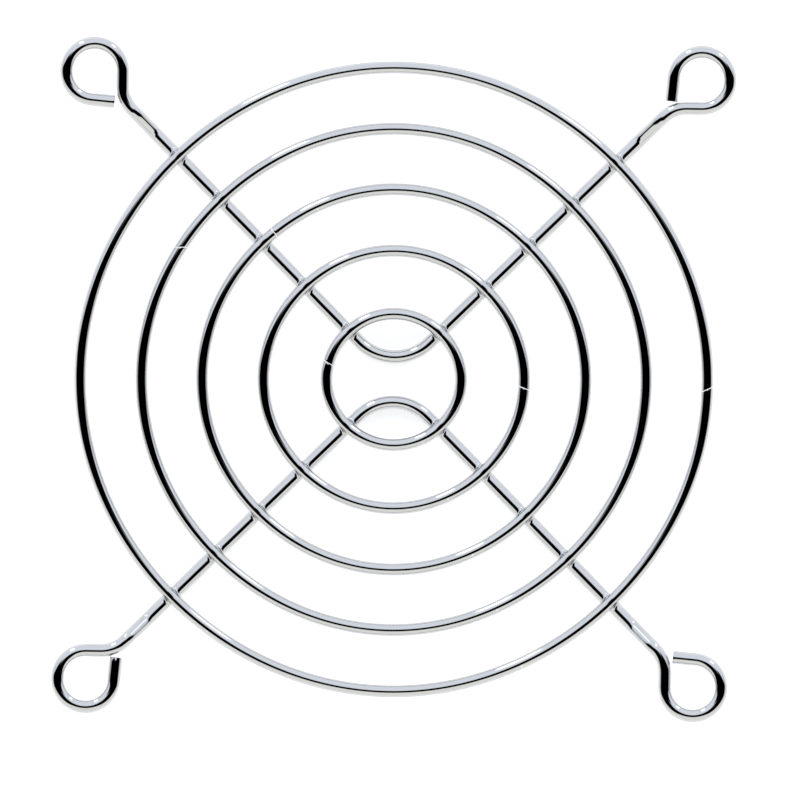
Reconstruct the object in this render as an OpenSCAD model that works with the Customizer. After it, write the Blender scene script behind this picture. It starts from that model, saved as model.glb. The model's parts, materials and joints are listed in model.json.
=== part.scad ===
// Wire finger guard for an axial fan.
// Five round wire rings are welded across two formed spoke wires. The four ends
// of the spokes step up past the rings and curl into the screw eyes, whose upper
// side is the seat against the fan. The guard stands on its spokes at Z = 0, and
// the origin lies below the middle of the four eyes.

/* [Screw eyes] */
// Spacing of the fan's four screw holes, centre to centre
hole_pitch = 71.5; // [68:0.5:90]
// Clear bore of each screw eye
eye_bore_d = 5.2; // [4:0.1:6.4]
// Width of the land that the forming mandrel presses inside each eye
eye_land_w = 0.6; // [0.5:0.05:0.9]
// Turn of the curl between its lead-in and its tail, in degrees
eye_turn = 265; // [255:1:268]
// Straight tails that close the curls of the right and the left eye
eye_tails = [2.85, 2.7]; // [1:0.05:2.85]
// Lean of the two bevels where the right tail was nipped off, in degrees
nip_bevel = 30; // [10:1:40]

/* [Wire] */
// Diameter of the spoke wire
spoke_wire_d = 1.55; // [1.2:0.05:1.9]
// Diameter of the ring wire
ring_wire_d = 1.45; // [1:0.05:1.8]

/* [Rings] */
// Diameter of the inner ring, along the middle of its wire
inner_ring_d = 15.6; // [14:0.2:19]
// Steps in radius from each ring to the next one out
ring_steps = [7.4, 7.2, 7.1, 7.2]; // [6:0.1:7.6]
// Gap between the two cut ends of a ring
ring_end_gap = 0.1; // [0.05:0.05:0.4]
// Slant of the cut at the ends of a ring, in degrees
ring_cut_slant = 38; // [0:1:50]

/* [Spokes] */
// Distance between the two points at which the spokes' straight lines would meet
apex_gap = 0.6; // [0:0.1:1.6]
// Radius of the bend in the middle of a spoke, along the middle of the wire
middle_bend_r = 5.8; // [4:0.1:7]
// Height of the eyes above the arms
eye_rise = 1.8; // [1:0.1:2.4]
// Slope of the step between an arm and its eye, in degrees
step_slope = 30; // [25:1:45]
// Radius of the two bends of the step
step_bend_r = 2; // [1.2:0.1:2.6]
// Radius of the bend that leads an arm into its eye
neck_bend_r = 4; // [2:0.1:4.4]

/* [Welds] */
// Depth to which a ring sinks into a spoke
weld_sink = 0.3; // [0.15:0.05:0.5]
// Diameter of the bead of squeezed metal around a weld
weld_bead_d = 2.2; // [1.9:0.05:2.4]
// Depth of the dents that the welding electrodes leave above and below a weld
dent_depth = 0.07; // [0.02:0.01:0.15]
// Radius of an electrode's face
electrode_r = 8; // [4:1:12]

/* [Hidden] */

chrome = [0.80, 0.81, 0.83];
wire_facets = 48;
bend_facets = 180;

// Where the cut ends of each ring meet, in degrees
ring_seams = [168, -1, 0, 1, -1];
// The radius of each ring is that of the inner one and the steps up to it
function ring_radius(i) = i == 0 ? inner_ring_d / 2 : ring_radius(i - 1) + ring_steps[i - 1];
ring_radii = [for (i = [0:len(ring_steps)]) ring_radius(i)];
ring_z = spoke_wire_d - weld_sink + ring_wire_d / 2;

// The curl is wound so tight that the land opens it to its bore
spoke_wire_r = spoke_wire_d / 2;
land_depth = spoke_wire_r - sqrt(pow(spoke_wire_r, 2) - pow(eye_land_w / 2, 2));
eye_r = eye_bore_d / 2 - land_depth + spoke_wire_r;

// Each arm aims from the apex of its spoke at the middle of its eye
eye_at = hole_pitch / 2;
arm_reach = norm([eye_at, eye_at - apex_gap / 2]);
arm_angle = atan2(eye_at - apex_gap / 2, eye_at);

step_straight = (eye_rise - 2 * step_bend_r * (1 - cos(step_slope))) / sin(step_slope);
step_run = 2 * step_bend_r * sin(step_slope) + step_straight * cos(step_slope);

// Neighbouring lengths of a formed wire stop just short of each other, inside a
// ball a hair wider than the wire, which joins them into one solid
joint_gap = 0.04;
joint_proud = 0.01;

module joint() {
    rotate([0, 90, 0]) sphere(r = spoke_wire_r + joint_proud, $fn = wire_facets);
}

// A piece of bent wire that starts at the given angle about the bend's own centre
module arc(radius, start, turn) {
    rotate([0, 0, start]) rotate_extrude(angle = turn, $fn = bend_facets)
        translate([radius, 0]) circle(r = spoke_wire_r, $fn = wire_facets);
}

// A straight length of wire along +X, with what follows at its end
module feed(length) {
    translate([joint_gap, 0, 0]) rotate([0, 90, 0])
        cylinder(r = spoke_wire_r, h = length - joint_gap, $fn = wire_facets);
    translate([length, 0, 0]) children();
}

// A bend that turns the wire left about +Z, with what follows at its end
module bend_left(radius, turn) {
    gap_turn = joint_gap / radius * 180 / PI;
    joint();
    translate([0, radius, 0]) {
        arc(radius, gap_turn - 90, turn - gap_turn);
        rotate([0, 0, turn]) translate([0, -radius, 0]) {
            joint();
            children();
        }
    }
}

// The same bend to another side: up at a roll of 90 degrees, right at 180, down at -90
module bend(radius, turn, roll) {
    rotate([roll, 0, 0]) bend_left(radius, turn) rotate([-roll, 0, 0]) children();
}

// The rise from the level of the arms to the level of the eyes
module step_up() {
    bend(step_bend_r, step_slope, 90) feed(step_straight) bend(step_bend_r, step_slope, -90) children();
}

// A straight end of wire along +X, nipped off between two blades above and below it
module nipped_feed(length) {
    blade = 2 * spoke_wire_d;
    difference() {
        feed(length + spoke_wire_r);
        for (roll = [0, 180])
            translate([length, 0, 0]) rotate([roll, 0, 0]) rotate([0, -nip_bevel, 0])
                translate([0, -blade / 2, -blade / 2]) cube(blade);
    }
}

// The curled end of an arm: the neck, a lead-in, the curl itself and its tail
module screw_eye(neck_turn) {
    lead_in = eye_r / tan(neck_turn) - neck_bend_r * tan(neck_turn / 2);
    bend(neck_bend_r, neck_turn, 180) feed(lead_in) bend_left(eye_r, eye_turn) children();
}

// One arm from the end of the middle bend outwards; the neck turns it parallel to an edge of the fan
module arm(neck_turn) {
    neck_start = arm_reach - eye_r / sin(neck_turn) - neck_bend_r * tan(neck_turn / 2);
    joint();
    feed(neck_start - step_run - middle_bend_r * tan(arm_angle)) step_up() screw_eye(neck_turn) children();
}

// The whole formed wire, one V with an eye at each end; both eyes curl the same way round
module spoke_wire() {
    translate([0, apex_gap / 2 + middle_bend_r / cos(arm_angle), spoke_wire_r]) {
        arc(middle_bend_r, -90 - arm_angle, 2 * arm_angle);
        rotate([0, 0, arm_angle]) translate([0, -middle_bend_r, 0])
            arm(arm_angle) nipped_feed(eye_tails[0]);
        rotate([0, 0, -arm_angle]) translate([0, -middle_bend_r, 0]) rotate([0, 0, 180])
            arm(90 - arm_angle) feed(eye_tails[1]);
    }
}

// Puts a copy at the weld of a ring on each arm of the upper spoke, with +X along the arm
module at_welds(ring_r) {
    along = sqrt(pow(ring_r, 2) - pow(apex_gap / 2 * cos(arm_angle), 2)) - apex_gap / 2 * sin(arm_angle);
    for (heading = [arm_angle, 180 - arm_angle])
        translate([0, apex_gap / 2, 0]) rotate([0, 0, heading]) translate([along, 0, 0]) children();
}

// The rounded face of an electrode, which rests on the origin and lies along X
module electrode() {
    translate([0, 0, electrode_r]) rotate([0, 90, 0])
        cylinder(r = electrode_r, h = 2 * spoke_wire_d, center = true, $fn = bend_facets);
}

module ring_wire(ring_r) {
    translate([0, 0, ring_z]) rotate_extrude($fn = bend_facets)
        translate([ring_r, 0]) circle(d = ring_wire_d, $fn = wire_facets);
}

module ring(i) {
    ring_top = ring_z + ring_wire_d / 2;
    color(chrome) difference() {
        ring_wire(ring_radii[i]);
        rotate([0, 0, ring_seams[i]]) translate([ring_radii[i], 0, ring_z]) rotate([0, 0, -ring_cut_slant])
            cube([3 * ring_wire_d, ring_end_gap, 2 * ring_wire_d], center = true);
        for (half_turn = [0, 180]) rotate([0, 0, half_turn])
            at_welds(ring_radii[i]) translate([0, 0, ring_top - dent_depth]) electrode();
    }
}

module upper_spoke() {
    color(chrome) difference() {
        union() {
            spoke_wire();
            for (r = ring_radii)
                at_welds(r) translate([0, 0, spoke_wire_d - weld_sink / 2]) sphere(d = weld_bead_d, $fn = wire_facets);
        }
        for (r = ring_radii) {
            ring_wire(r);
            at_welds(r) translate([0, 0, dent_depth]) rotate([180, 0, 90]) electrode();
        }
        for (x = [-eye_at, eye_at])
            translate([x, eye_at, eye_rise]) cylinder(d = eye_bore_d, h = spoke_wire_d, $fn = bend_facets);
    }
}

module lower_spoke() {
    rotate([0, 0, 180]) upper_spoke();
}

ring(0);  // ring_1
ring(1);  // ring_2
ring(2);  // ring_3
ring(3);  // ring_4
ring(4);  // ring_5
upper_spoke();
lower_spoke();
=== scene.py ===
import json
import math

import bmesh
import bpy
import numpy as np
from mathutils import Matrix, Vector


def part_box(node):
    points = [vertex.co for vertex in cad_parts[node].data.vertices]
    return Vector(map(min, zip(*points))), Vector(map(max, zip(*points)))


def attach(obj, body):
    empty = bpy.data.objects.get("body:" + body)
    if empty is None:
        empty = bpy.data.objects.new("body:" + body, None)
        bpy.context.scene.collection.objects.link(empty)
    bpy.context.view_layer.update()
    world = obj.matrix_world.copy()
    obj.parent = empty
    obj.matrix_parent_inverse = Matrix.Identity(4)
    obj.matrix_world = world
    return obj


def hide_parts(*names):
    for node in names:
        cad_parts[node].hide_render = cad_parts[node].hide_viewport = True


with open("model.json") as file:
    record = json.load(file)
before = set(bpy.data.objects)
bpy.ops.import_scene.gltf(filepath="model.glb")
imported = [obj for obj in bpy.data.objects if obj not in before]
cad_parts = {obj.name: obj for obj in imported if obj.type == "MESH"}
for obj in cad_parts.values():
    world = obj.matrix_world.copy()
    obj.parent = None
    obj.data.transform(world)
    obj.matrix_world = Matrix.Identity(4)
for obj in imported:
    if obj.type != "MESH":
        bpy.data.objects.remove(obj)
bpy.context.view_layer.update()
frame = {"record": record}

MM = 0.001

# ---------------------------------------------------------------- the guard's sizes

# Read off the frame: the rings' radii, wire and level, and the spacing of the eyes
RINGS = ["ring_1", "ring_2", "ring_3", "ring_4", "ring_5"]
ring_low, ring_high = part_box("ring_5")
RING_WIRE_R = (ring_high.z - ring_low.z) / 2
RING_Z = (ring_high.z + ring_low.z) / 2
RING_RADII = [(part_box(r)[1].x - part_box(r)[0].x) / 2 - RING_WIRE_R for r in RINGS]
mount = frame["record"]["mounts"][0]
EYE_AT = mount["dims"]["spacing_x_mm"] / 2 * MM

# The spoke wire and its bends, along the middle of the wire
SPOKE_WIRE_R = 0.775 * MM
APEX_GAP = 0.6 * MM
MIDDLE_BEND_R = 5.8 * MM
EYE_RISE = 1.8 * MM
STEP_SLOPE = math.radians(30)
STEP_BEND_R = 2.0 * MM
NECK_BEND_R = 4.0 * MM
EYE_BORE_R = 2.6 * MM
EYE_R = 3.315 * MM
EYE_TURN = math.radians(265)
NIPPED_TAIL = 2.85 * MM
SQUARE_TAIL = 2.7 * MM
NIP_BEVEL = math.radians(30)
NIP_REACH = 2.2 * MM

# The directions in which the bending head can roll before a bend, in degrees
LEFT, UP, RIGHT, DOWN = 0, 90, 180, -90

# Where the cut ends of each ring meet, and the slant of each cut, in degrees
RING_SEAMS = [167, -3, 130, 149, -1]
SEAM_SLANTS = [18, 18, 5, -30, -25]
SEAM_GAP = 0.06 * MM
# The rings are a little oval, and spring out between their welds in
# proportion to their size
RING_OVAL = 0.1 * MM
RING_SPRING = 0.0037

# Welds: the fillet of squeezed metal, and the flats that the electrodes press.
# The fillet stays on the side where the two wires meet
FILLET = 0.5 * MM
FILLET_OVER_RING = 0.2 * MM
FILLET_UNDER_SPOKE = 0.3 * MM
DENT_DEPTH = 0.02 * MM
ELECTRODE_R = 8 * MM
WELD_REACH = 1.7 * MM
DENT_REACH = 1.6 * MM
DENT_EDGE = 0.015 * MM
# How far from a weld its corners are matt and carry painted shade
DULL_AND_SHADE_REACH = 0.8 * MM
# No weld lies further out than this
PAST_THE_RINGS = 40 * MM

# The land that the mandrel presses inside each eye
LAND_CATCH = 0.05 * MM
LAND_DEPTH = 0.1 * MM
LAND_EDGE = 0.01 * MM

# How finely the wires are cut
SIDES = 48
FINE = 0.07 * MM
COARSE = 0.55 * MM
BURR = 0.05 * MM
SEAM_BURR = 0.015 * MM
# The stretch beside a joint over which the slant of its cut fades out
SEAM_RUN = 1.2 * MM
SEAM_CUT = 4 * FINE
BEND_CUT = 0.25 * MM
SAME_PLACE = 1e-7
# A face with more sides than this is the cap of a wire
CAP_SIDES = 6
SMOOTH_ANGLE = math.radians(35)
# Steps between the points noted along the middle of a spoke
TRACK_FEED = 0.25 * MM
TRACK_BEND = 0.2 * MM
# Points handled at a time, and halvings in the search for the fillet
BLOCK = 2000
FILLET_STEPS = 30

# The chrome: its tint where it is bright, and where it is dull or darkened as painted shade in the weld
# corners
BRIGHT_TINT = (0.63, 0.635, 0.64, 1)
DULL_AND_SHADE_TINT = (0.55, 0.555, 0.57, 1)
# The noise of its two textures along the wire and twice across it, in waves to the metre
DIE_LINES = (60, 9000, 9000)
PLATING_SWELL = (700, 1400, 1400)

# The dark gap overhead, in slopes away from straight up: where to the sides it
# spreads, and its far and near edges before and after it has spread
GAP_SPREAD = (0.05, 0.6)
GAP_FAR = (0.09, 0.35)
GAP_NEAR = (-0.51, -0.77)
# Where the side walls begin and reach their full light, in the same slopes
WALLS = (2.9, 4.4)
# The turn of each small lamp in degrees, and its strength
LAMPS = ((54, 1.2), (115.5, 2.2))
ROOM_STRENGTH = 1.06

# The table's own glow, and its width in metres
FLOOR_GLOW = 0.62
FLOOR_SIZE = 4

# The camera
VIEW_WIDTH = 94.19 * MM
CAMERA_AT = (0.773 * MM, -2.422 * MM, 0.6)
CAMERA_TURN = math.radians(0.86)

APEX = Vector((0, APEX_GAP / 2, SPOKE_WIRE_R))
ARM_ANGLE = math.atan2(EYE_AT - APEX_GAP / 2, EYE_AT)
ARM_REACH = math.hypot(EYE_AT, EYE_AT - APEX_GAP / 2)


def weld_distance(ring_radius):
    """How far from its apex an arm meets a ring."""
    half = APEX_GAP / 2
    return math.sqrt(ring_radius ** 2 - (half * math.cos(ARM_ANGLE)) ** 2) - half * math.sin(ARM_ANGLE)


def arm_lines():
    """The start and the direction of the middle line of each of the four arms."""
    lines = []
    for side in (1, -1):
        for heading in (ARM_ANGLE, math.pi - ARM_ANGLE):
            start = Vector((0, side * APEX.y, APEX.z))
            lines.append((start, Vector((math.cos(heading), side * math.sin(heading), 0))))
    return lines


# ---------------------------------------------------------------- bending wire


def start_wire(name, place, heading, radius):
    """A thin ring of points across the wire, ready to be drawn out into it."""
    bpy.ops.object.select_all(action="DESELECT")
    turn = heading.to_track_quat("Z", "Y").to_euler()
    bpy.ops.mesh.primitive_circle_add(vertices=SIDES, radius=radius, location=place, rotation=turn)
    wire = bpy.context.object
    wire.name = name
    bpy.ops.object.transform_apply(location=True, rotation=True, scale=True)
    bpy.ops.object.mode_set(mode="EDIT")
    bpy.ops.mesh.select_all(action="SELECT")
    return wire


def draw_out(heading, length, cut_length):
    """Feeds a straight length of wire and cuts it into short rings of faces."""
    bpy.ops.mesh.extrude_region_move(TRANSFORM_OT_translate={"value": heading * length})
    cuts = max(0, round(length / cut_length) - 1)
    if cuts == 0:
        return
    shape = bpy.context.object.data
    mesh = bmesh.from_edit_mesh(shape)
    front = [v for v in mesh.verts if v.select]
    middle = sum((v.co for v in front), Vector()) / len(front)
    reach = max((v.co - middle).length for v in front) * 1.01
    sides = []
    for vert in front:
        for edge in vert.link_edges:
            if abs((edge.verts[0].co - edge.verts[1].co).normalized().dot(heading)) > 0.9:
                sides.append(edge)
    for edge in mesh.edges:
        edge.select = False
    for vert in front:
        vert.select = False
    for edge in sides:
        edge.select_set(True)
    bmesh.update_edit_mesh(shape)
    bpy.ops.mesh.select_mode(type="EDGE")
    bpy.ops.mesh.subdivide(number_cuts=cuts)
    bpy.ops.mesh.select_mode(type="VERT")
    bpy.ops.mesh.select_all(action="DESELECT")
    mesh = bmesh.from_edit_mesh(shape)
    for vert in mesh.verts:
        ahead = vert.co - middle
        if abs(ahead.dot(heading)) < 2 * SAME_PLACE and ahead.length < reach:
            vert.select = True
    mesh.select_flush_mode()
    bmesh.update_edit_mesh(shape)


def bend_round(centre, axis, turn, radius, cut_length):
    """Bends the wire round a centre."""
    steps = max(6, round(abs(turn) * radius / cut_length))
    bpy.ops.mesh.spin(steps=steps, angle=-turn, center=centre, axis=axis)


def close_ends():
    """Caps the two ends of the wire."""
    bpy.ops.mesh.select_all(action="SELECT")
    bpy.ops.mesh.remove_doubles(threshold=SAME_PLACE)
    bpy.ops.mesh.select_all(action="DESELECT")
    bpy.ops.mesh.select_mode(type="EDGE")
    bpy.ops.mesh.select_non_manifold()
    bpy.ops.mesh.fill_holes(sides=0)
    bpy.ops.mesh.select_all(action="SELECT")
    bpy.ops.mesh.normals_make_consistent(inside=False)


def take_off_burr(burr):
    """Rounds the rims of the caps, which have more sides than the skin's faces."""
    bpy.ops.mesh.select_all(action="DESELECT")
    mesh = bmesh.from_edit_mesh(bpy.context.object.data)
    for face in mesh.faces:
        if len(face.verts) > CAP_SIDES:
            for edge in face.edges:
                edge.select_set(True)
    bmesh.update_edit_mesh(bpy.context.object.data)
    bpy.ops.mesh.bevel(offset=burr, segments=3, affect="EDGES")


def finish_wire(wire):
    bpy.ops.object.mode_set(mode="OBJECT")
    bpy.ops.object.select_all(action="DESELECT")
    wire.select_set(True)
    bpy.context.view_layer.objects.active = wire
    bpy.ops.object.shade_smooth_by_angle(angle=SMOOTH_ANGLE)


# ---------------------------------------------------------------- shaping in code


def points_of(wire):
    count = len(wire.data.vertices)
    co = np.empty(count * 3)
    wire.data.vertices.foreach_get("co", co)
    return co.reshape(-1, 3)


def put_points(wire, points):
    wire.data.vertices.foreach_set("co", points.astype(np.float32).ravel())
    wire.data.update()


def spring_of(ring, turn):
    """How far a ring's middle line stands out of true round at a turn."""
    return RING_OVAL * np.cos(2 * turn) + RING_SPRING * RING_RADII[ring] * np.cos(4 * turn)


def from_rings(points):
    """Distance of each point from the nearest ring's surface."""
    turn = np.arctan2(points[:, 1], points[:, 0])
    out = np.hypot(points[:, 0], points[:, 1])
    best = np.full(len(points), 1.0)
    for i, radius in enumerate(RING_RADII):
        middle = radius + spring_of(i, turn)
        best = np.minimum(best, np.hypot(out - middle, points[:, 2] - RING_Z) - RING_WIRE_R)
    return best


def from_arms(points):
    """Distance of each point from the nearest arm's surface."""
    best = np.full(len(points), 1.0)
    for start, heading in arm_lines():
        gap = points - np.array(start)
        run = gap @ np.array(heading)
        side = np.linalg.norm(gap - run[:, None] * np.array(heading), axis=1) - SPOKE_WIRE_R
        best = np.minimum(best, np.where(run > 0, side, 1.0))
    return best


def raise_fillet(points, normals, from_other):
    """Draws the skin out along its normals into the smooth fillet of the weld.
    Both wires' skins end on the same fillet, so they pass into each other."""
    overlap = -0.3 * FILLET

    def wanted(swell):
        room = from_other(points + swell[:, None] * normals) - swell
        fair = FILLET / 4 * (1 - np.minimum(room, FILLET) / FILLET) ** 2
        top = FILLET / 4 * (1 - overlap / FILLET) ** 2
        sunk = top * np.clip(1 + (room - overlap) / FILLET, 0, 1)
        return np.where(room > overlap, fair, sunk)

    low = np.zeros(len(points))
    high = np.full(len(points), FILLET)
    for _ in range(FILLET_STEPS):
        mid = (low + high) / 2
        over = mid > wanted(mid)
        high = np.where(over, mid, high)
        low = np.where(over, low, mid)
    return points + ((low + high) / 2)[:, None] * normals


def soft_least(a, b, soft):
    blend = np.maximum(soft - np.abs(a - b), 0) / soft
    return np.minimum(a, b) - blend ** 2 * soft / 4


def press_flats(points, across, level, up):
    """The electrode's round face flattens the wire at each weld.
    across is how far each point lies from the weld along the face's curve."""
    face = level + up * (ELECTRODE_R - np.sqrt(np.maximum(ELECTRODE_R ** 2 - across ** 2, 0)))
    points[:, 2] = up * soft_least(up * points[:, 2], up * face, DENT_EDGE)


def note_run(wire, run, side, up):
    """Keeps, for the finish, where each point lies along and round its wire."""
    layer = wire.data.attributes.new("wire_run", "FLOAT_VECTOR", "POINT")
    layer.data.foreach_set("vector", np.stack([run, side, up], 1).astype(np.float32).ravel())


def note_weld(wire, distance):
    """Keeps how close each point lies to a weld, from 0 to 1: there the finish makes the plating matt
    and darkens the tint as painted shade.
    """
    layer = wire.data.attributes.new("weld_near", "FLOAT", "POINT")
    layer.data.foreach_set("value", np.clip(1 - distance / DULL_AND_SHADE_REACH, 0, 1).astype(np.float32))


# ---------------------------------------------------------------- rings


def make_ring(index):
    radius = RING_RADII[index]
    seam = math.radians(RING_SEAMS[index])
    slant = math.radians(SEAM_SLANTS[index])
    gap = SEAM_GAP / math.cos(slant) / radius
    begin = seam + gap / 2
    place = Vector((radius * math.cos(begin), radius * math.sin(begin), RING_Z))
    heading = Vector((-math.sin(begin), math.cos(begin), 0))
    wire = start_wire(f"chromed_{RINGS[index]}", place, heading, RING_WIRE_R)
    # the welds on the way round, and the finely cut stretch over each of them
    along = weld_distance(radius)
    stops = []
    for start, arm in arm_lines():
        weld = start + arm * along
        stops.append((math.atan2(weld.y, weld.x) - begin) % (2 * math.pi))
    half = WELD_REACH / radius
    end = 2 * math.pi - gap
    seam_run = SEAM_RUN / radius
    marks = [(seam_run, SEAM_CUT)]
    for stop in sorted(stops):
        marks.append((stop - half, COARSE))
        marks.append((stop + half, FINE))
    marks.append((end - seam_run, COARSE))
    marks.append((end, SEAM_CUT))
    at = 0.0
    for mark, cut in marks:
        if mark <= at:
            continue
        bend_round((0, 0, RING_Z), (0, 0, 1), mark - at, radius, cut)
        at = mark
    close_ends()
    bpy.ops.object.mode_set(mode="OBJECT")
    points = points_of(wire)
    turn = np.arctan2(points[:, 1], points[:, 0])
    out = np.hypot(points[:, 0], points[:, 1])
    side = out - radius
    # the slanted cut of the butt joint
    from_seam = (turn - seam + math.pi) % (2 * math.pi) - math.pi
    near = np.clip(1 - (np.abs(from_seam) - gap / 2) / seam_run, 0, 1)
    turn = turn - near * side * math.tan(slant) / radius
    sprung = radius + spring_of(index, turn) + side
    points[:, 0] = sprung * np.cos(turn)
    points[:, 1] = sprung * np.sin(turn)
    put_points(wire, points)
    bpy.ops.object.mode_set(mode="EDIT")
    take_off_burr(SEAM_BURR)
    finish_wire(wire)
    points = points_of(wire)
    turn = np.arctan2(points[:, 1], points[:, 0])
    middle = radius + spring_of(index, turn)
    foot = np.stack([middle * np.cos(turn), middle * np.sin(turn), np.full(len(turn), RING_Z)], 1)
    normals = points - foot
    lengths = np.linalg.norm(normals, axis=1)
    normals /= np.maximum(lengths, 1e-9)[:, None]
    near_arm = from_arms(points)
    weld_side = points[:, 2] < RING_Z + FILLET_OVER_RING
    skin = (lengths > 0.9 * RING_WIRE_R) & (near_arm < 2 * FILLET) & weld_side
    points[skin] = raise_fillet(points[skin], normals[skin], from_arms)
    top = RING_Z + RING_WIRE_R
    for start, arm in arm_lines():
        weld = start + arm * along
        spot = np.hypot(points[:, 0] - weld.x, points[:, 1] - weld.y) < DENT_REACH
        across = (points[spot, 0] - weld.x) * -arm.y + (points[spot, 1] - weld.y) * arm.x
        pressed = points[spot]
        press_flats(pressed, across, top - DENT_DEPTH, 1)
        points[spot] = pressed
    put_points(wire, points)
    run = (turn % (2 * math.pi)) * radius
    side = np.hypot(points[:, 0], points[:, 1]) - middle
    note_run(wire, run, side, points[:, 2] - RING_Z)
    note_weld(wire, np.maximum(from_arms(points), 0))
    return wire


# ---------------------------------------------------------------- spokes


class Head:
    """The bending head: where the wire has got to, and which way it goes."""

    def __init__(self, place, heading, up):
        self.place, self.heading, self.up = place.copy(), heading.copy(), up.copy()

    def feed(self, length):
        self.place = self.place + self.heading * length

    def bend(self, radius, turn, roll):
        """Turns the wire about +up, once the head has rolled to the side given."""
        axis = Matrix.Rotation(math.radians(roll), 3, self.heading) @ self.up
        left = axis.cross(self.heading)
        centre = self.place + left * radius
        spin = Matrix.Rotation(turn, 3, axis)
        self.place = centre + spin @ (self.place - centre)
        self.heading = spin @ self.heading
        self.up = spin @ self.up
        return centre, axis


def arm_moves(neck_turn, tail):
    """The moves that form one arm outwards from the middle bend."""
    rise = EYE_RISE - 2 * STEP_BEND_R * (1 - math.cos(STEP_SLOPE))
    slope = rise / math.sin(STEP_SLOPE)
    step_run = 2 * STEP_BEND_R * math.sin(STEP_SLOPE) + slope * math.cos(STEP_SLOPE)
    lead_in = EYE_R / math.tan(neck_turn) - NECK_BEND_R * math.tan(neck_turn / 2)
    neck_start = ARM_REACH - EYE_R / math.sin(neck_turn) - NECK_BEND_R * math.tan(neck_turn / 2)
    arm_start = MIDDLE_BEND_R * math.tan(ARM_ANGLE)
    moves = []
    at = arm_start
    for radius in RING_RADII:
        weld = weld_distance(radius)
        moves.append(("feed", weld - WELD_REACH - at, COARSE))
        moves.append(("feed", 2 * WELD_REACH, FINE))
        at = weld + WELD_REACH
    moves.append(("feed", neck_start - step_run - at, COARSE))
    moves.append(("bend", STEP_BEND_R, STEP_SLOPE, UP))
    moves.append(("feed", slope, COARSE))
    moves.append(("bend", STEP_BEND_R, STEP_SLOPE, DOWN))
    moves.append(("bend", NECK_BEND_R, neck_turn, RIGHT))
    moves.append(("feed", lead_in, COARSE))
    moves.append(("bend", EYE_R, EYE_TURN, LEFT))
    moves.append(("feed", tail, COARSE))
    return moves


def run_moves(head, moves):
    for move in moves:
        if move[0] == "feed":
            head.feed(move[1])
        else:
            head.bend(*move[1:4])
    return head


def backwards(moves):
    """The same lengths and bends from the far end inwards."""
    seen_back = {LEFT: RIGHT, RIGHT: LEFT, UP: UP, DOWN: DOWN}
    back = []
    for move in reversed(moves):
        if move[0] == "feed":
            back.append(move)
        else:
            back.append(("bend", move[1], move[2], seen_back[move[3]]))
    return back


def make_upper_spoke():
    up = Vector((0, 0, 1))
    to_left = Vector((-math.cos(ARM_ANGLE), math.sin(ARM_ANGLE), 0))
    left_start = APEX + to_left * (MIDDLE_BEND_R * math.tan(ARM_ANGLE))
    left = arm_moves(math.pi / 2 - ARM_ANGLE, SQUARE_TAIL)
    right = arm_moves(ARM_ANGLE, NIPPED_TAIL)
    tip = run_moves(Head(left_start, to_left, up), left)
    head = Head(tip.place, -tip.heading, tip.up)
    moves = backwards(left) + [("bend", MIDDLE_BEND_R, 2 * ARM_ANGLE, LEFT)] + right
    wire = start_wire("chromed_upper_spoke", head.place, head.heading, SPOKE_WIRE_R)
    track = [head.place.copy()]
    for move in moves:
        if move[0] == "feed":
            draw_out(head.heading, move[1], move[2])
            steps = max(2, int(move[1] / TRACK_FEED))
            here = head.place.copy()
            track += [here + head.heading * move[1] * k / steps for k in range(1, steps + 1)]
            head.feed(move[1])
        else:
            before = head.place.copy()
            centre, axis = head.bend(*move[1:4])
            bend_round(centre, axis, move[2], move[1], BEND_CUT)
            steps = max(4, int(move[1] * move[2] / TRACK_BEND))
            for k in range(1, steps + 1):
                turned = Matrix.Rotation(move[2] * k / steps, 3, axis) @ (before - centre)
                track.append(centre + turned)
    nip_off(head)
    close_ends()
    take_off_burr(BURR)
    finish_wire(wire)
    shape_spoke(wire, np.array([list(p) for p in track]))
    return wire


def nip_off(head):
    """Two slanted cuts leave the ridge of a nipped wire end."""
    across = head.up.cross(head.heading)
    for side in (1, -1):
        normal = Matrix.Rotation(side * NIP_BEVEL, 3, across) @ head.heading
        if normal.z * side < 0:
            normal = Matrix.Rotation(-side * NIP_BEVEL, 3, across) @ head.heading
        bpy.ops.mesh.select_all(action="DESELECT")
        mesh = bmesh.from_edit_mesh(bpy.context.object.data)
        for vert in mesh.verts:
            gap = vert.co - head.place
            run = gap.dot(head.heading)
            on_tail = (gap - head.heading * run).length < 1.01 * SPOKE_WIRE_R
            vert.select_set(on_tail and abs(run) < NIP_REACH)
        mesh.select_flush(False)
        bmesh.update_edit_mesh(bpy.context.object.data)
        bpy.ops.mesh.bisect(plane_co=head.place, plane_no=normal, clear_outer=True, use_fill=False)


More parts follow.
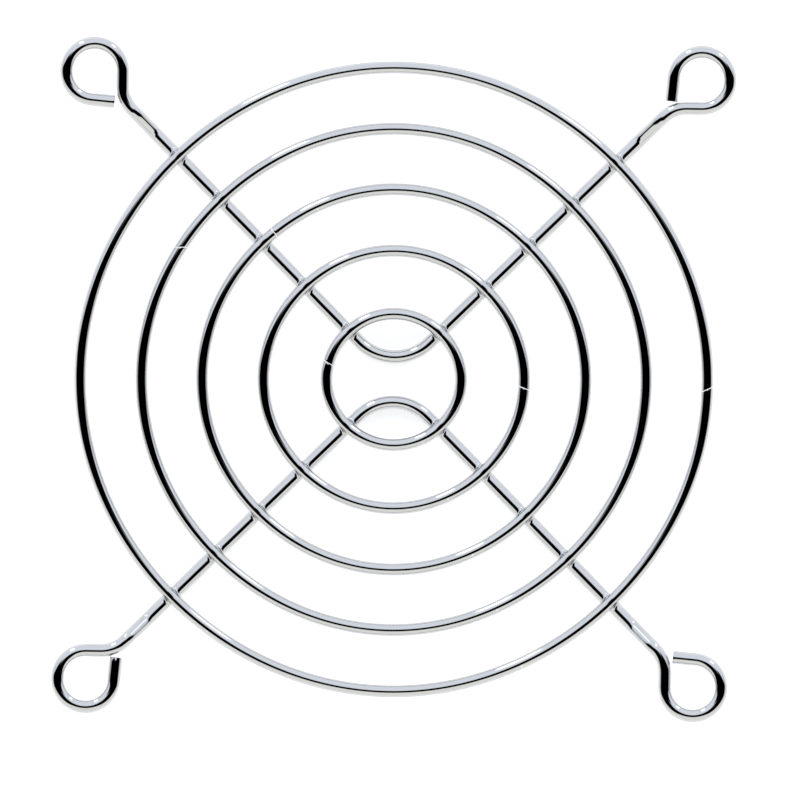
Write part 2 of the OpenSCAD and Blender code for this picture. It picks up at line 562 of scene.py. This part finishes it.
def shape_spoke(wire, track):
    """Welds, electrode flats and the pressed land inside the eyes."""
    points = points_of(wire)
    nearest = np.empty(len(points), int)
    for first in range(0, len(points), BLOCK):
        part = points[first:first + BLOCK]
        gap = ((part[:, None, :] - track[None, :, :]) ** 2).sum(2)
        nearest[first:first + BLOCK] = gap.argmin(1)
    # on the straight arms the normal stands square to the arm's own line
    normals = np.zeros_like(points)
    on_arm = np.zeros(len(points), bool)
    for start, heading in arm_lines()[:2]:
        gap = points - np.array(start)
        run = gap @ np.array(heading)
        foot = gap - run[:, None] * np.array(heading)
        size = np.linalg.norm(foot, axis=1)
        straight = (run > MIDDLE_BEND_R * math.tan(ARM_ANGLE)) & (run < PAST_THE_RINGS)
        here = straight & (size < 1.2 * SPOKE_WIRE_R)
        normals[here] = foot[here] / size[here][:, None]
        on_arm |= here
    near_ring = from_rings(points)
    skin = on_arm & (near_ring < 2 * FILLET) & (points[:, 2] > SPOKE_WIRE_R - FILLET_UNDER_SPOKE)
    points[skin] = raise_fillet(points[skin], normals[skin], from_rings)
    for radius in RING_RADII:
        for start, arm in arm_lines()[:2]:
            weld = start + arm * weld_distance(radius)
            spot = np.hypot(points[:, 0] - weld.x, points[:, 1] - weld.y) < DENT_REACH
            across = (points[spot, 0] - weld.x) * arm.x + (points[spot, 1] - weld.y) * arm.y
            pressed = points[spot]
            press_flats(pressed, across, DENT_DEPTH, -1)
            points[spot] = pressed
    for x in (-EYE_AT, EYE_AT):
        away = points[:, :2] - np.array([x, EYE_AT])
        out = np.linalg.norm(away, axis=1)
        inside = (out < EYE_BORE_R + LAND_CATCH) & (points[:, 2] > EYE_RISE - LAND_DEPTH)
        wanted = -soft_least(-out[inside], np.full(inside.sum(), -EYE_BORE_R), LAND_EDGE)
        points[inside, :2] = np.array([x, EYE_AT]) + away[inside] * (wanted / out[inside])[:, None]
    put_points(wire, points)
    lengths = np.r_[0, np.linalg.norm(np.diff(track, axis=0), axis=1)].cumsum()
    ahead = np.gradient(track, axis=0)
    ahead /= np.linalg.norm(ahead, axis=1)[:, None]
    gap = points - track[nearest]
    left = np.cross(np.array([0.0, 0.0, 1.0]), ahead[nearest])
    side = (gap * left).sum(1)
    note_run(wire, lengths[nearest] + (gap * ahead[nearest]).sum(1), side, gap[:, 2])
    note_weld(wire, np.maximum(from_rings(points), 0))


def make_lower_spoke(upper):
    """The same formed wire, turned half round about the middle of the guard."""
    wire = upper.copy()
    wire.data = upper.data.copy()
    wire.name = "chromed_lower_spoke"
    bpy.context.collection.objects.link(wire)
    wire.data.transform(Matrix.Rotation(math.pi, 4, "Z"))
    return wire


# ---------------------------------------------------------------- finishes


def node(tree, kind, **values):
    made = tree.nodes.new(kind)
    for key, value in values.items():
        setattr(made, key, value)
    return made


def math_node(tree, operation, *inputs):
    made = node(tree, "ShaderNodeMath", operation=operation)
    for slot, value in zip(made.inputs, inputs):
        if isinstance(value, (int, float)):
            slot.default_value = value
        else:
            tree.links.new(value, slot)
    return made.outputs[0]


def plating_group():
    """Bright plating over drawn wire: die lines, orange peel, and weld corners that are matt and
    darkened with painted shade.
    """
    tree = bpy.data.node_groups.new("bright_plating", "ShaderNodeTree")
    face = tree.interface
    face.new_socket("Wire Run", in_out="INPUT", socket_type="NodeSocketVector")
    face.new_socket("Weld Near", in_out="INPUT", socket_type="NodeSocketFloat")
    face.new_socket("Bright", in_out="INPUT", socket_type="NodeSocketColor")
    face.new_socket("Dull And Shade", in_out="INPUT", socket_type="NodeSocketColor")
    face.new_socket("Smooth", in_out="INPUT", socket_type="NodeSocketFloat")
    face.new_socket("Colour", in_out="OUTPUT", socket_type="NodeSocketColor")
    face.new_socket("Roughness", in_out="OUTPUT", socket_type="NodeSocketFloat")
    face.new_socket("Height", in_out="OUTPUT", socket_type="NodeSocketFloat")
    entry = node(tree, "NodeGroupInput")
    leave = node(tree, "NodeGroupOutput")
    link = tree.links.new
    # faint lines that the drawing die left along the wire
    stretch = node(tree, "ShaderNodeMapping")
    stretch.inputs["Scale"].default_value = DIE_LINES
    link(entry.outputs["Wire Run"], stretch.inputs["Vector"])
    lines = node(tree, "ShaderNodeTexNoise")
    lines.inputs["Scale"].default_value = 1.0
    lines.inputs["Detail"].default_value = 2.0
    link(stretch.outputs[0], lines.inputs["Vector"])
    # the slow swell of the plating
    swell_map = node(tree, "ShaderNodeMapping")
    swell_map.inputs["Scale"].default_value = PLATING_SWELL
    link(entry.outputs["Wire Run"], swell_map.inputs["Vector"])
    swell = node(tree, "ShaderNodeTexNoise")
    swell.inputs["Scale"].default_value = 1.0
    swell.inputs["Detail"].default_value = 1.0
    link(swell_map.outputs[0], swell.inputs["Vector"])
    # the corners of the welds, where the plating is thin and matt, and where the tint is darkened as
    # painted shade
    weld_corner_shade = math_node(tree, "POWER", entry.outputs["Weld Near"], 2.0)
    mix = node(tree, "ShaderNodeMix", data_type="RGBA")
    # the tint goes dull with the random swell of the plating, and darkens in the weld corners as
    # painted shade
    haze_and_shade = math_node(tree, "MULTIPLY", weld_corner_shade, 0.7)
    haze_and_shade = math_node(tree, "ADD", haze_and_shade, math_node(tree, "MULTIPLY", swell.outputs[0], 0.22))
    haze_and_shade = node_clamp(tree, haze_and_shade)
    link(haze_and_shade, mix.inputs["Factor"])
    link(entry.outputs["Bright"], mix.inputs["A"])
    link(entry.outputs["Dull And Shade"], mix.inputs["B"])
    link(mix.outputs["Result"], leave.inputs["Colour"])
    rough = math_node(tree, "MULTIPLY", lines.outputs[0], 0.035)
    rough = math_node(tree, "ADD", rough, entry.outputs["Smooth"])
    rough = math_node(tree, "ADD", rough, math_node(tree, "MULTIPLY", weld_corner_shade, 0.12))
    link(rough, leave.inputs["Roughness"])
    height = math_node(tree, "MULTIPLY", lines.outputs[0], 0.25)
    height = math_node(tree, "ADD", height, swell.outputs[0])
    link(height, leave.inputs["Height"])
    return tree


def node_clamp(tree, value):
    made = node(tree, "ShaderNodeClamp")
    tree.links.new(value, made.inputs["Value"])
    return made.outputs[0]


def chrome(name, group, smooth, swell):
    """Decorative chrome on steel wire."""
    finish = bpy.data.materials.new(name)
    finish.use_nodes = True
    tree = finish.node_tree
    shader = tree.nodes["Principled BSDF"]
    shader.inputs["Metallic"].default_value = 1.0
    run = node(tree, "ShaderNodeAttribute", attribute_name="wire_run")
    weld = node(tree, "ShaderNodeAttribute", attribute_name="weld_near")
    plating = node(tree, "ShaderNodeGroup", node_tree=group)
    plating.inputs["Bright"].default_value = BRIGHT_TINT
    # the dull tint is also the painted shade of the weld corners
    plating.inputs["Dull And Shade"].default_value = DULL_AND_SHADE_TINT
    plating.inputs["Smooth"].default_value = smooth
    link = tree.links.new
    link(run.outputs["Vector"], plating.inputs["Wire Run"])
    link(weld.outputs["Fac"], plating.inputs["Weld Near"])
    link(plating.outputs["Colour"], shader.inputs["Base Color"])
    link(plating.outputs["Roughness"], shader.inputs["Roughness"])
    bump = node(tree, "ShaderNodeBump")
    bump.inputs["Strength"].default_value = 1.0
    bump.inputs["Distance"].default_value = swell
    link(plating.outputs["Height"], bump.inputs["Height"])
    link(bump.outputs[0], shader.inputs["Normal"])
    return finish


def pale_floor():
    """A white table under even light."""
    finish = bpy.data.materials.new("white_table")
    finish.use_nodes = True
    shader = finish.node_tree.nodes["Principled BSDF"]
    shader.inputs["Base Color"].default_value = (0.9, 0.9, 0.9, 1)
    shader.inputs["Roughness"].default_value = 0.9
    shader.inputs["Specular IOR Level"].default_value = 0.0
    shader.inputs["Emission Color"].default_value = (1, 1, 1, 1)
    shader.inputs["Emission Strength"].default_value = FLOOR_GLOW
    return finish


# ---------------------------------------------------------------- studio


def studio_light():
    """A white room with two broad light panels overhead, a dark gap between
    them for the camera, dim walls at the sides and two small lamps."""
    room = bpy.data.worlds.new("studio")
    bpy.context.scene.world = room
    room.use_nodes = True
    tree = room.node_tree
    link = tree.links.new
    coords = node(tree, "ShaderNodeTexCoord")
    split = node(tree, "ShaderNodeSeparateXYZ")
    link(coords.outputs["Generated"], split.inputs[0])
    x, y, z = split.outputs

    def smooth(value, low, high, first=0.0, last=1.0):
        ramp = node(tree, "ShaderNodeMapRange", interpolation_type="SMOOTHSTEP")
        for slot, number in zip(("From Min", "From Max", "To Min", "To Max"), (low, high, first, last)):
            ramp.inputs[slot].default_value = number
        link(value, ramp.inputs["Value"])
        return ramp.outputs[0]

    def times(value, by):
        return math_node(tree, "MULTIPLY", value, by)

    height = math_node(tree, "MAXIMUM", z, 0.02)
    side = math_node(tree, "DIVIDE", math_node(tree, "ABSOLUTE", x), height)
    back = math_node(tree, "DIVIDE", y, height)
    # the dark gap: narrow over the middle, wider to both sides
    far_edge = smooth(side, *GAP_SPREAD, *GAP_FAR)
    near_edge = smooth(side, *GAP_SPREAD, *GAP_NEAR)
    over_far = smooth(math_node(tree, "SUBTRACT", back, far_edge), -0.05, 0.09)
    over_near = smooth(math_node(tree, "SUBTRACT", back, near_edge), -0.11, 0.06, 1.0, 0.0)
    panels = math_node(tree, "MAXIMUM", over_far, over_near)
    # low over both side walls the gap ends
    wall = smooth(side, *WALLS, 0.0, 0.95)
    light = math_node(tree, "MAXIMUM", panels, wall)
    dim = smooth(math_node(tree, "ABSOLUTE", x), 0.75, 1.0, 1.0, 0.72)
    light = times(light, dim)
    # two small upright lamps
    for turn, strength in LAMPS:
        c = math.cos(math.radians(turn))
        s = math.sin(math.radians(turn))
        ahead = math_node(tree, "ADD", times(x, c), times(y, s))
        off = math_node(tree, "SUBTRACT", times(x, s), times(y, c))
        ahead = math_node(tree, "MAXIMUM", ahead, 0.01)
        angle = math_node(tree, "DIVIDE", math_node(tree, "ABSOLUTE", off), ahead)
        spot = smooth(angle, 0.05, 0.09, 1.0, 0.0)
        spot = times(spot, smooth(z, 0.15, 0.25))
        spot = times(spot, smooth(z, 0.62, 0.72, 1.0, 0.0))
        light = math_node(tree, "ADD", light, times(spot, strength))
    tint = node(tree, "ShaderNodeMix", data_type="RGBA")
    tint.inputs["A"].default_value = (1.0, 0.995, 0.95, 1)
    tint.inputs["B"].default_value = (0.94, 0.99, 1.08, 1)
    link(smooth(y, -0.3, 0.3), tint.inputs["Factor"])
    glow = tree.nodes["Background"]
    link(tint.outputs["Result"], glow.inputs["Color"])
    link(times(light, ROOM_STRENGTH), glow.inputs["Strength"])


def make_floor():
    """The table at Z = 0, which the guard stands on."""
    bpy.ops.object.select_all(action="DESELECT")
    bpy.ops.mesh.primitive_plane_add(size=FLOOR_SIZE, location=(0, 0, 0))
    floor = bpy.context.object
    floor.name = "floor"
    floor.data.materials.append(pale_floor())


def make_camera():
    """Straight down on the guard, from far enough away that nothing tapers."""
    lens = bpy.data.cameras.new("overhead")
    lens.type = "ORTHO"
    lens.ortho_scale = VIEW_WIDTH
    lens.clip_end = 10
    camera = bpy.data.objects.new("overhead", lens)
    bpy.context.collection.objects.link(camera)
    camera.location = CAMERA_AT
    camera.rotation_euler = (0, 0, CAMERA_TURN)
    bpy.context.scene.camera = camera


# ---------------------------------------------------------------- the guard

group = plating_group()
ring_chrome = chrome("ring_chrome", group, smooth=0.02, swell=0.4e-6)
spoke_chrome = chrome("spoke_chrome", group, smooth=0.025, swell=0.5e-6)

pieces = {}
for index, ring in enumerate(RINGS):
    pieces[ring] = make_ring(index)
    pieces[ring].data.materials.append(ring_chrome)
pieces["upper_spoke"] = make_upper_spoke()
pieces["upper_spoke"].data.materials.append(spoke_chrome)
pieces["lower_spoke"] = make_lower_spoke(pieces["upper_spoke"])

for cad_node, piece in pieces.items():
    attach(piece, "root")
    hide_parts(cad_node)

bpy.context.scene.view_settings.view_transform = "Standard"
studio_light()
make_floor()
make_camera()
